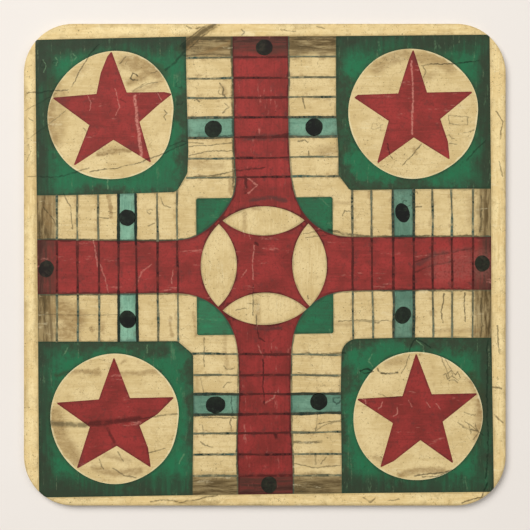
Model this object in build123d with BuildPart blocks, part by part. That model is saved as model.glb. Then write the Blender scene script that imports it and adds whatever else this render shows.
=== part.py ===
"""Square pulpboard coaster printed with an old cross-and-circle race-game board.

The card lies flat with its printed face up. +Z is up, +Y is the top of the picture,
and the origin is the middle of the underside. Three sheets are glued together, and the
print lies on them: one flush layer of colour fields, then a dark overprint of lines and dots.
All sizes are in millimetres.
"""

import os

from build123d import *

# ---------------------------------------------------------------- the card
SIDE = 101.6
CORNER_RADIUS = 10.4
BACK_PAPER = 0.15
BOARD_CORE = 1.05
FACE_PAPER = 0.15
COLOUR_INK = 0.10
OVERPRINT_INK = 0.05

CORE_Z = BACK_PAPER
FACE_Z = CORE_Z + BOARD_CORE
COLOUR_Z = FACE_Z + FACE_PAPER
OVERPRINT_Z = COLOUR_Z + COLOUR_INK

# ---------------------------------------------------------------- the picture
# The board was painted by hand, so no edge is quite straight or square.
BEYOND = 60.0
PLAY_AREA = [
    (-48.4, 47.4), (-16.5, 48.1), (15.3, 48.2), (47.4, 48.5), (47.7, 16.0), (47.8, -15.4),
    (48.3, -47.9), (16.3, -48.2), (-15.2, -48.6), (-47.6, -49.1), (-47.8, -16.2), (-48.1, 14.6),
]

# The inner edge of each green corner panel. Its outer edges are those of the play area.
PANEL_EDGES = {
    "nw": [(-16.6, 44), (-16.4, 34), (-16.1, 24), (-16.3, 19.3), (-18.6, 15.3), (-31, 14.9), (-43, 14.6)],
    "ne": [(15.0, 44), (15.0, 32), (15.5, 24), (15.5, 18.9), (17.9, 15.7), (31, 15.9), (43, 16.0)],
    "se": [(16.2, -44), (16.0, -26), (16.2, -15.7), (32, -15.3), (43, -15.4)],
    "sw": [(-15.2, -44), (-15.0, -30), (-15.1, -18.9), (-18.4, -16.1), (-31, -16.2), (-43, -16.2)],
}
PANEL_CORNER_RADII = {"nw": 1.6, "ne": 1.0, "se": 3.4, "sw": 1.2}
PANEL_CORNER_REACH = 20.0

# The cream discs: a centre, and the hand-drawn radius every 30 degrees from +X.
DISCS = {
    "nw": ((-32.6, 31.5), [13.25, 13.8, 14.0, 13.5, 12.85, 12.8, 13.2, 13.4, 13.65, 13.45, 13.75, 13.7]),
    "ne": ((31.2, 31.8), [13.7, 13.85, 13.55, 13.7, 13.9, 13.7, 13.6, 13.4, 13.5, 13.7, 13.55, 13.75]),
    "se": ((32.3, -31.9), [13.65, 13.5, 13.4, 13.5, 13.65, 13.45, 13.6, 13.9, 13.75, 13.5, 13.45, 13.3]),
    "sw": ((-31.7, -32.5), [13.5, 13.8, 13.7, 13.75, 13.6, 13.65, 13.5, 13.35, 13.5, 13.75, 13.6, 13.6]),
}

# The stars, clockwise from the top tip: tips, notches, and a point where an edge bulges.
STARS = {
    "nw": [
        (-32.3, 45.0), (-29.1, 36.3), (-21.2, 36.4), (-19.5, 36.0), (-22.6, 33.5),
        (-26.4, 30.1), (-23.9, 21.4), (-31.9, 26.3), (-40.4, 20.7), (-37.0, 29.4),
        (-44.9, 35.2), (-35.5, 36.0), (-34.6, 40.4), (-33.2, 43.9),
    ],
    "ne": [
        (31.3, 45.5), (34.2, 36.3), (44.0, 36.5), (37.0, 30.7), (38.6, 26.0), (39.0, 22.1), (31.4, 26.8),
        (23.6, 21.2), (26.1, 30.3), (18.8, 35.2), (19.6, 35.8), (28.1, 36.1), (30.4, 43.4),
    ],
    "se": [
        (31.9, -18.5), (35.2, -27.3), (45.0, -27.1), (37.5, -33.1), (39.8, -42.0), (32.8, -37.0),
        (27.2, -41.4), (24.3, -42.8), (27.0, -33.4), (19.2, -28.3), (29.0, -27.7),
    ],
    "sw": [
        (-31.8, -19.4), (-28.4, -28.1), (-19.0, -27.9), (-22.6, -31.5), (-26.4, -33.9), (-24.6, -38.6),
        (-24.0, -42.8), (-31.2, -38.2), (-39.7, -43.1), (-36.9, -34.2), (-44.1, -29.1), (-35.0, -28.4),
    ],
}
STAR_TIPS = 5
STAR_TIP_RADIUS = 0.18

# The red cross: each of its four sides runs up one arm, round a flare and along the next arm.
CROSS_SIDES = {
    "nw": [
        (-6.8, 44), (-6.5, 32), (-6.3, 22), (-6.3, 15.6), (-9.7, 9.8),
        (-15.6, 5.6), (-19.5, 5.05), (-27, 5.0), (-36, 5.1), (-44, 5.2),
    ],
    "ne": [
        (4.9, 44), (4.95, 32), (5.3, 21), (6.3, 14.7), (9.4, 9.4),
        (14.6, 6.3), (19, 5.85), (26.5, 5.8), (35.5, 5.85), (44, 5.85),
    ],
    "se": [
        (5.9, -44), (5.5, -32), (5.5, -21), (6.1, -14.6), (8.7, -9.4),
        (14.0, -6.1), (18.5, -5.5), (26.5, -5.35), (35.5, -5.3), (44, -5.3),
    ],
    "sw": [
        (-5.6, -44), (-5.6, -32), (-5.5, -21), (-6.5, -14.6), (-9.7, -9.5),
        (-14.6, -6.6), (-19.5, -6.0), (-27, -6.05), (-36, -6.15), (-44, -6.2),
    ],
}

# The medallion in the middle: an oval with a red four-pointed star between cream petals.
MEDALLION_CENTRE = (-0.2, -0.2)
MEDALLION_RADII = (13.3, 12.5)
# Each hollow side of the star: where it starts, its deepest point, and where it ends.
CENTRE_STAR_SIDES = [
    [(-9.05, 9.4), (-0.2, 6.15), (8.65, 9.6)],
    [(9.4, 8.9), (5.8, -0.2), (9.6, -8.9)],
    [(9.0, -9.5), (0.0, -5.9), (-9.1, -9.9)],
    [(-9.9, -8.9), (-5.9, 0.0), (-9.8, 8.65)],
]
CENTRE_SQUARE = [(-14.5, 14.0), (14.3, 14.3), (14.5, -14.5), (-14.3, -14.9)]
CENTRE_SQUARE_CORNER = 0.5

# Grid lines across each arm, innermost first, as where the line starts and where it ends:
# heights at the left and the right for north and south, or x at the top and the bottom.
GRID_LINES = {
    "north": [
        (18.3, 18.7), (22.3, 22.8), (26.7, 27.1), (31.0, 31.15), (35.1, 35.4), (39.2, 39.6), (43.6, 43.95),
    ],
    "east": [
        (18.4, 18.6), (22.4, 22.85), (26.9, 27.2), (31.4, 31.4), (35.3, 35.5), (39.35, 39.5), (43.9, 43.8),
    ],
    "south": [
        (-18.75, -19.0), (-23.2, -23.3), (-27.3, -27.2), (-31.7, -31.25),
        (-35.7, -35.2), (-40.0, -39.95), (-44.5, -44.4),
    ],
    "west": [
        (-18.6, -18.2), (-22.7, -22.5), (-27.3, -26.8), (-30.85, -30.8),
        (-35.2, -34.9), (-39.6, -39.35), (-43.85, -43.8),
    ],
}
GRID_LINE_WIDTH = 0.38
GRID_LINE_REACH = 16.6
MARKED_CELL_LINES = (2, 3)

# The black dots: centre, radii and tilt. The last one of each arm lies in its end cell.
DOTS = {
    "north": [
        ((-10.9, 28.6), (1.9, 1.8), 20), ((10.45, 29.05), (1.85, 1.8), 60), ((-0.1, 45.8), (1.75, 1.65), 0),
    ],
    "east": [
        ((29.0, 10.9), (2.0, 1.5), 108), ((29.1, -10.6), (1.85, 1.65), 75), ((45.9, 0.2), (1.75, 1.6), 80),
    ],
    "south": [
        ((-10.3, -29.6), (2.05, 1.75), 0), ((11.4, -28.9), (1.8, 1.7), 40), ((0.9, -46.4), (1.8, 1.65), 80),
    ],
    "west": [
        ((-29.0, 9.9), (1.75, 1.7), 0), ((-28.85, -11.5), (1.95, 1.75), 100),
        ((-46.1, -0.9), (1.8, 1.65), 85),
    ],
}

QUARTERS = {"nw": (-1, 1), "ne": (1, 1), "se": (1, -1), "sw": (-1, -1)}
COMPASS = {"north": 90, "east": 0, "south": -90, "west": 180}


# ---------------------------------------------------------------- outlines
def closed_outline(points):
    """A sketch of one closed shape with straight sides."""
    with BuildSketch() as shape:
        with BuildLine():
            Polyline(*points, close=True)
        make_face()
    return shape.sketch


def card_outline():
    """The die-cut outline of the whole card."""
    with BuildSketch() as shape:
        RectangleRounded(SIDE, SIDE, CORNER_RADIUS)
    return shape.sketch


def play_area():
    """What the border strip goes round. The die cuts off its corners."""
    with BuildSketch() as shape:
        add(closed_outline(PLAY_AREA))
        add(card_outline(), mode=Mode.INTERSECT)
    return shape.sketch


def panel_outline(quarter):
    """A green corner panel, still without the hole for its disc."""
    side_x, side_y = QUARTERS[quarter]
    edge = PANEL_EDGES[quarter]
    top = (edge[0][0], side_y * BEYOND)
    corner = (side_x * BEYOND, side_y * BEYOND)
    foot = (side_x * BEYOND, edge[-1][1])
    with BuildSketch() as shape:
        add(closed_outline([top, *edge, foot, corner]))
        inner = shape.vertices().filter_by(lambda v: max(abs(v.X), abs(v.Y)) < PANEL_CORNER_REACH)
        fillet(inner, PANEL_CORNER_RADII[quarter])
        add(play_area(), mode=Mode.INTERSECT)
    return shape.sketch


def disc_outline(quarter):
    """A cream disc, drawn by hand round its centre."""
    centre, radii = DISCS[quarter]
    step = 360 / len(radii)
    points = [Vector(*centre) + Vector(r, 0).rotate(Axis.Z, step * i) for i, r in enumerate(radii)]
    with BuildSketch() as shape:
        with BuildLine():
            Spline(*points, periodic=True)
        make_face()
    return shape.sketch


def star_outline(quarter):
    """A five-pointed star with slightly blunt tips, kept inside its disc."""
    with BuildSketch() as shape:
        add(closed_outline(STARS[quarter]))
        tips = shape.vertices().sort_by_distance(DISCS[quarter][0])[-STAR_TIPS:]
        fillet(tips, STAR_TIP_RADIUS)
        add(disc_outline(quarter), mode=Mode.INTERSECT)
    return shape.sketch


def cross_outline():
    """The whole red cross with its four flares, out to the edge of the play area."""
    with BuildSketch() as shape:
        add(play_area())
        for quarter, points in CROSS_SIDES.items():
            side_x, side_y = QUARTERS[quarter]
            start = (points[0][0], side_y * BEYOND)
            corner = (side_x * BEYOND, side_y * BEYOND)
            end = (side_x * BEYOND, points[-1][1])
            with BuildSketch(mode=Mode.PRIVATE) as outside:
                with BuildLine():
                    Line(start, points[0])
                    Spline(*points)
                    Polyline(points[-1], end, corner, start)
                make_face()
            add(outside.sketch, mode=Mode.SUBTRACT)
    return shape.sketch


def medallion_outline():
    """The oval in the middle."""
    with BuildSketch() as shape:
        with Locations(MEDALLION_CENTRE):
            Ellipse(*MEDALLION_RADII)
    return shape.sketch


def centre_star_outline():
    """The red star of four concave sides, cut to the oval."""
    with BuildSketch() as shape:
        with BuildLine():
            for index, side in enumerate(CENTRE_STAR_SIDES):
                Line(CENTRE_STAR_SIDES[index - 1][-1], side[0])
                ThreePointArc(*side)
        make_face()
        add(medallion_outline(), mode=Mode.INTERSECT)
    return shape.sketch


def centre_square_outline():
    """The green square that shows behind the cross and the oval."""
    with BuildSketch() as shape:
        add(closed_outline(CENTRE_SQUARE))
        fillet(shape.vertices(), CENTRE_SQUARE_CORNER)
    return shape.sketch


def line_ends(arm, start, end):
    """The two ends of a grid line that starts and ends at the given places on its arm."""
    if arm in ("north", "south"):
        return (-GRID_LINE_REACH, start), (GRID_LINE_REACH, end)
    return (start, GRID_LINE_REACH), (end, -GRID_LINE_REACH)


def marked_band(arm):
    """The strip between the two grid lines that bound the marked cells."""
    near, far = (GRID_LINES[arm][index] for index in MARKED_CELL_LINES)
    near_start, near_end = line_ends(arm, *near)
    far_start, far_end = line_ends(arm, *far)
    return closed_outline([near_start, near_end, far_end, far_start])


def grid_line_shapes(arm):
    """The hand-ruled lines across an arm."""
    with BuildSketch() as shape:
        for start, end in GRID_LINES[arm]:
            with BuildLine():
                Line(*line_ends(arm, start, end))
            trace(line_width=GRID_LINE_WIDTH)
    return shape.sketch


def dot_shapes(arm):
    """The black dots of an arm's marked cells and end cell."""
    with BuildSketch() as shape:
        for centre, radii, tilt in DOTS[arm]:
            with Locations(Location((*centre, 0), (0, 0, tilt))):
                Ellipse(*radii)
    return shape.sketch


def petal_outline(arm):
    """The cream petal between the centre star and one arm."""
    towards_arm = Vector(MEDALLION_RADII[1], 0).rotate(Axis.Z, COMPASS[arm])
    with BuildSketch(mode=Mode.PRIVATE) as petals:
        add(medallion_outline())
        add(centre_star_outline(), mode=Mode.SUBTRACT)
    with BuildSketch() as shape:
        add(petals.faces().sort_by_distance(towards_arm)[0])
    return shape.sketch


def quarter_window(quarter):
    """A square that covers one quarter of the card."""
    side_x, side_y = QUARTERS[quarter]
    with BuildSketch() as shape:
        with Locations((side_x * BEYOND / 2, side_y * BEYOND / 2)):
            Rectangle(BEYOND, BEYOND)
    return shape.sketch


def arm_window(arm):
    """A wedge between the two diagonals that covers one arm."""
    half = Vector(BEYOND, BEYOND).rotate(Axis.Z, COMPASS[arm])
    other = Vector(BEYOND, -BEYOND).rotate(Axis.Z, COMPASS[arm])
    return closed_outline([(0, 0), (half.X, half.Y), (other.X, other.Y)])


# ---------------------------------------------------------------- pieces
def save(piece, name):
    """Names a finished piece and writes it as a node."""
    piece.part.label = name
    export_step(piece.part, f"parts/{name}.step")


def make_sheet(name, height, thickness):
    """One full sheet of the laminate."""
    with BuildPart() as sheet:
        with BuildSketch(Plane.XY.offset(height)):
            add(card_outline())
        extrude(amount=thickness)
    save(sheet, name)


def make_ink(name, inside, without=(), height=COLOUR_Z, thickness=COLOUR_INK):
    """One field of ink: what all the inside shapes share, without the others."""
    with BuildPart() as ink:
        with BuildSketch(Plane.XY.offset(height)):
            add(inside[0])
            for shape in inside[1:]:
                add(shape, mode=Mode.INTERSECT)
            for shape in without:
                add(shape, mode=Mode.SUBTRACT)
        extrude(amount=thickness)
    save(ink, name)


os.makedirs("parts", exist_ok=True)

make_sheet("back_paper", 0, BACK_PAPER)
make_sheet("board_core", CORE_Z, BOARD_CORE)
make_sheet("face_paper", FACE_Z, FACE_PAPER)

field = play_area()
cross = cross_outline()
medallion = medallion_outline()
centre_star = centre_star_outline()
centre_square = centre_square_outline()
panel_shapes = {quarter: panel_outline(quarter) for quarter in QUARTERS}
marked_bands = {arm: marked_band(arm) for arm in COMPASS}

make_ink("border_strip", [card_outline()], [field])
make_ink("centre_star", [centre_star])

for quarter, panel in panel_shapes.items():
    disc = disc_outline(quarter)
    star = star_outline(quarter)
    window = quarter_window(quarter)
    make_ink(f"corner_panel_{quarter}", [panel], [disc])
    make_ink(f"disc_{quarter}", [disc], [star])
    make_ink(f"star_{quarter}", [star])
    make_ink(f"centre_corner_{quarter}", [centre_square, window], [cross, medallion])
    covered = [panel, cross, centre_square, medallion, *marked_bands.values()]
    make_ink(f"track_{quarter}", [field, window], covered)

for arm, band in marked_bands.items():
    window = arm_window(arm)
    make_ink(f"cross_arm_{arm}", [cross, window], [medallion])
    make_ink(f"petal_{arm}", [petal_outline(arm)])
    make_ink(f"marked_cells_{arm}", [band], [cross, *panel_shapes.values()])
    dots = dot_shapes(arm)
    lines = grid_line_shapes(arm)
    covered = [dots, *panel_shapes.values()]
    make_ink(f"grid_lines_{arm}", [lines, field], covered, OVERPRINT_Z, OVERPRINT_INK)
    make_ink(f"dots_{arm}", [dots], (), OVERPRINT_Z, OVERPRINT_INK)
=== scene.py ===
"""Looks of the printed race-game coaster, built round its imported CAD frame.

The card is three sheets (back paper, pulp core, face paper) under one flat print. Each colour field of the
print and its dark overprint are separate pieces. They all keep the outlines of their CAD nodes, and get a
finer mesh, the rounded rim that a die leaves on a card, and the paint that the picture shows. Lengths are
millimetres, and meshes are made in metres.
"""

import math

import bpy
import numpy as np
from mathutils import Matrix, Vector, geometry, kdtree, noise


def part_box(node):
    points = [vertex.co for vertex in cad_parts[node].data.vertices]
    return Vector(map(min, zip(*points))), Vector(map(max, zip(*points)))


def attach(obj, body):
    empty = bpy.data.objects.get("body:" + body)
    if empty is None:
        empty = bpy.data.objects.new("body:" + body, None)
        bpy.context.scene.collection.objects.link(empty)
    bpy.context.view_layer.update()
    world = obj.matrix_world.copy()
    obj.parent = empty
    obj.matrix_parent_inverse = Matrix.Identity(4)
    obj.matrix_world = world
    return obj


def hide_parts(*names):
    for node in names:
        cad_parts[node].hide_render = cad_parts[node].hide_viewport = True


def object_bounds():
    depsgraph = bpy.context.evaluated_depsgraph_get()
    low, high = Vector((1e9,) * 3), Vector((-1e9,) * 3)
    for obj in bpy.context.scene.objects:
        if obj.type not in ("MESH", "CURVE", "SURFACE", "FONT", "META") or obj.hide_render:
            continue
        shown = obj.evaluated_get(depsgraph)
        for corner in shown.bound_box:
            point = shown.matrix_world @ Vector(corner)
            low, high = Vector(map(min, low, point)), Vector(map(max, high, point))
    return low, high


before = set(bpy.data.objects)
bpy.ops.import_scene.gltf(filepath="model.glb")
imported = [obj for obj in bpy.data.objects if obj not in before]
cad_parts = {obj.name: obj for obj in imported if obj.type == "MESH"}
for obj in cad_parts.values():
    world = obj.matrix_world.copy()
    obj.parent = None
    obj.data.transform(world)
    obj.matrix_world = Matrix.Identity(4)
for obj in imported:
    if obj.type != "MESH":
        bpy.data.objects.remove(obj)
cad_low, cad_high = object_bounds()

MM = 0.001
THICKNESS = (cad_high.z - cad_low.z) / MM
HALF = (cad_high.x - cad_low.x) / 2 / MM

FINE, LINE_FINE = 0.35, 0.25   # longest edge along an outline, and along a line or dot
TREE_FINE = 0.1        # spacing of the points that distances to an outline are measured from
MESH, LINE_MESH, SHEET_MESH = 0.7, 0.5, 3.0   # spacing of the points inside a field, a line and a sheet
HONEYCOMB = 0.866      # how far apart the rows of those points are, as a share of the spacing
JITTER = 0.16          # how far those points are moved at random, as a share of the spacing
RIM = 0.7              # how far the die has rounded the card's rim inwards
RIM_DROP = 0.19        # how far the face is pressed down at the cut
RIM_LIFT = 0.07        # how far the back is pressed up at the cut
RIM_RINGS = (0.08, 0.18, 0.3, 0.45, 0.65)    # how far the rings of points on the rim lie from the cut
RIM_GAP, FIELD_GAP = 0.07, 0.3     # how far those points, and points inside a field, keep from an outline
FIBRE_ALONG, FIBRE_UP = 1.6, 5.0   # bumps of the cut edge in a millimetre, along it and up it
FIBRE_IN = 0.15        # how far the cut edge lies inside its outline, as a share of its roughness
FAR = 9.0              # distances to an outline are kept up to this

QUARTERS = ("nw", "ne", "se", "sw")
ARMS = ("north", "east", "south", "west")


# -------- outlines

def top_loops(node):
    """The outlines of a CAD node's top face, as lists of (x, y)."""
    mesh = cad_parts[node].data
    top = max(v.co.z for v in mesh.vertices)
    index, spots, steps = {}, [], set()
    for face in mesh.polygons:
        corners = [mesh.vertices[i].co for i in face.vertices]
        if min(c.z for c in corners) < top - 1e-6:
            continue
        ring = []
        for c in corners:
            key = (round(c.x * 1e6), round(c.y * 1e6))
            if key not in index:
                index[key] = len(spots)
                spots.append((c.x / MM, c.y / MM))
            ring.append(index[key])
        for a, b in zip(ring, ring[1:] + ring[:1]):
            if (b, a) in steps:
                steps.remove((b, a))
            elif a != b:
                steps.add((a, b))
    ahead = dict(sorted(steps))
    loops = []
    while ahead:
        at = min(ahead)
        loop = []
        while at in ahead:
            loop.append(spots[at])
            at = ahead.pop(at)
        loops.append(loop)
    return loops


def signed_area(loop):
    """The area inside a loop, negative for the outline of a hole."""
    p = np.array(loop)
    q = np.roll(p, -1, 0)
    return ((p[:, 0] * q[:, 1]) - (q[:, 0] * p[:, 1])).sum() / 2


def divided(loop, step):
    """The loop with its long edges divided."""
    fine = []
    for p, q in zip(loop, loop[1:] + loop[:1]):
        length = math.dist(p, q)
        if length < 1e-3:
            continue
        parts = max(1, math.ceil(length / step))
        for i in range(parts):
            t = i / parts
            fine.append((p[0] + (q[0] - p[0]) * t, p[1] + (q[1] - p[1]) * t))
    return fine


def outward(loop):
    """The unit normal of each point of a loop, away from the material."""
    p = np.array(loop)
    along = np.roll(p, -1, 0) - np.roll(p, 1, 0)
    normal = np.stack((along[:, 1], -along[:, 0]), 1)
    return normal / np.maximum(np.hypot(*normal.T), 1e-9)[:, None]


def grown(loop, amount):
    """The loop moved out by amount(x, y) at each point."""
    p = np.array(loop)
    by = np.array([amount(x, y) for x, y in loop])
    return [tuple(q) for q in p + outward(loop) * by[:, None]]


def inside(points, loops):
    """True for each point that the loops enclose."""
    a = np.concatenate([np.array(loop) for loop in loops])
    b = np.concatenate([np.roll(np.array(loop), -1, 0) for loop in loops])
    rise = np.where(b[:, 1] == a[:, 1], 1.0, b[:, 1] - a[:, 1])
    lean = (b[:, 0] - a[:, 0]) / rise
    found = np.zeros(len(points), bool)
    for start in range(0, len(points), 1000):
        part = slice(start, start + 1000)
        x, y = points[part, :1], points[part, 1:]
        crosses = (a[:, 1] > y) != (b[:, 1] > y)
        found[part] = (crosses & (x < a[:, 0] + (y - a[:, 1]) * lean)).sum(1) % 2 == 1
    return found


def outline_tree(loops):
    """A search tree of closely spaced points along the loops."""
    dense = [p for loop in loops for p in divided(loop, TREE_FINE)]
    tree = kdtree.KDTree(len(dense))
    for number, (x, y) in enumerate(dense):
        tree.insert((x, y, 0.0), number)
    tree.balance()
    return tree


def clearance(points, tree):
    """Distance from each point to the outline of a search tree."""
    return np.array([tree.find((x, y, 0.0))[2] for x, y in points])


# -------- the card's rim

card_loop = max(top_loops("face_paper"), key=len)
CORNER = HALF - max(x for x, y in card_loop if y > HALF - 1e-3)


def depth_in(points):
    """How far each point lies inside the card's outline."""
    q = np.abs(points) - (HALF - CORNER)
    return CORNER - np.hypot(*np.maximum(q, 0).T) - np.minimum(q.max(1), 0)


def rounded(points, z):
    """Heights at z after the die has rounded the rim."""
    near = np.clip(1 - depth_in(points) / RIM, 0, 1) ** 2
    up = z / THICKNESS
    return z + near * (RIM_LIFT * (1 - up) - RIM_DROP * up)


def rim_points():
    """Rings of points just inside the card's outline."""
    rings = []
    loop = divided(card_loop, FINE)
    p, normal = np.array(loop), outward(loop)
    for number, inset in enumerate(RIM_RINGS):
        rings.append((p - normal * inset)[number % 2::2])
    return np.concatenate(rings)


RIM_POINTS = rim_points()


def hex_points(low, high, step, seed):
    """A jittered honeycomb of points over a box."""
    rows = np.arange(low[1], high[1], step * HONEYCOMB)
    columns = np.arange(low[0], high[0], step)
    x, y = np.meshgrid(columns, rows)
    x = x + (np.arange(len(rows)) % 2)[:, None] * step / 2
    points = np.stack((x.ravel(), y.ravel()), 1)
    return points + np.random.default_rng(seed).uniform(-JITTER, JITTER, points.shape) * step


def triangles(loops, extra):
    """Points and triangles that fill the loops, using the extra points that fall inside."""
    spots = [p for loop in loops for p in loop] + [tuple(p) for p in extra]
    edges, start = [], 0
    for loop in loops:
        n = len(loop)
        edges += [(start + i, start + (i + 1) % n) for i in range(n)]
        start += n
    made = geometry.delaunay_2d_cdt([Vector(p) for p in spots], edges, [], 0, 1e-6)
    points = np.array([tuple(v) for v in made[0]])
    faces = np.array(made[2])
    faces = faces[inside(points[faces].mean(1), loops)]
    return points, faces


def border_steps(faces):
    """The directed edges that only one triangle uses."""
    steps = set()
    for face in faces.tolist():
        for a, b in zip(face, face[1:] + face[:1]):
            if (b, a) in steps:
                steps.remove((b, a))
            else:
                steps.add((a, b))
    return sorted(steps)


def filling(loops, step, seed):
    """Points inside the loops: those on the card's rim, and a honeycomb away from it."""
    tree = outline_tree(loops)
    spots = np.array([p for loop in loops for p in loop])
    low, high = spots.min(0), spots.max(0)
    rim = RIM_POINTS[(RIM_POINTS >= low).all(1) & (RIM_POINTS <= high).all(1)]
    honeycomb = hex_points(low, high, step, seed)
    honeycomb = honeycomb[depth_in(honeycomb) > RIM]

    def usable(points, gap):
        points = points[inside(points, loops)] if len(points) else points
        return points[clearance(points, tree) > gap] if len(points) else points

    return usable(rim, RIM_GAP), usable(honeycomb, min(FIELD_GAP, 0.4 * step))


def cut_edge(upper, heights, steps, foot, rows, rough, first):
    """Rows of points down the card's cut edge, pushed in and out like the fibres of pulp.

    It returns the numbers of the points below each point of the outline, then their places and heights."""
    columns, places, levels = {}, [], []
    behind = {b: a for a, b in steps}
    for a, b in steps:
        along = upper[b] - upper[behind[a]]
        normal = np.array((along[1], -along[0])) / max(np.hypot(*along), 1e-9)
        columns[a] = []
        for row in range(1, rows + 1):
            t = row / (rows + 1)
            z = heights[a] * (1 - t) + heights[foot[a]] * t
            spot = Vector((upper[a][0] * FIBRE_ALONG, upper[a][1] * FIBRE_ALONG, z * FIBRE_UP))
            fibre = noise.noise(spot) + 0.6 * noise.noise(spot * 2.7)
            columns[a].append(first + len(places))
            places.append(upper[a] + normal * rough * (fibre - FIBRE_IN))
            levels.append(z)
    return columns, places, levels


def closed_piece(name, loops, low, high, step, seed, rows=0, rough=0.0, move=None):
    """A closed thin solid over the loops between two heights, with a fine top and its outline distances."""
    rim, honeycomb = filling(loops, step, seed)
    upper, upper_faces = triangles(loops, np.concatenate((rim, honeycomb)))
    lower, lower_faces = triangles(loops, rim)

    def key(p):
        return (round(p[0] * 1e4), round(p[1] * 1e4))

    count = len(upper)
    lower_at = {key(p): count + i for i, p in enumerate(lower)}
    places = np.concatenate((upper, lower))
    heights = np.concatenate((rounded(upper, high), rounded(lower, low)))
    faces = upper_faces.tolist() + [[count + i for i in reversed(f)] for f in lower_faces.tolist()]
    steps = border_steps(upper_faces)
    foot = {a: lower_at[key(upper[a])] for a, b in steps}
    columns = {}
    if rows:
        columns, extra, levels = cut_edge(upper, heights, steps, foot, rows, rough, len(places))
        places = np.concatenate((places, extra))
        heights = np.concatenate((heights, levels))
    for a, b in steps:
        down_a, down_b = ([top] + columns.get(top, []) + [foot[top]] for top in (a, b))
        for i in range(len(down_a) - 1):
            faces.append([down_b[i], down_a[i], down_a[i + 1], down_b[i + 1]])
    if move is not None:
        places = places + np.array([move(x, y) for x, y in places])
    mesh = bpy.data.meshes.new(name)
    corners = np.concatenate((places, heights[:, None]), 1) * MM
    mesh.from_pydata([tuple(c) for c in corners], [], faces)
    mesh.validate()
    outer = [loop for loop in loops if signed_area(loop) > 0]
    for title, ring in (("edge", outer), ("rim", loops)):
        value = np.zeros(len(places), np.float32)
        value[:count] = np.minimum(clearance(upper, outline_tree(ring)), FAR)
        mesh.attributes.new(title, "FLOAT", "POINT").data.foreach_set("value", value)
    mesh.update()
    piece = bpy.data.objects.new(name, mesh)
    bpy.context.scene.collection.objects.link(piece)
    return piece


# -------- the picture's wear, listed one by one

def curl(x, y, radius, start=0.5, sweep=5.0):
    """An open, uneven ring, as x, y, x, y..."""
    line = []
    for step in range(8):
        angle = start + sweep * step / 7
        reach = radius * (1 + 0.22 * math.sin(2.3 * step + x))
        line += (x + reach * math.cos(angle), y + 0.85 * reach * math.sin(angle))
    return line


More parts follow.
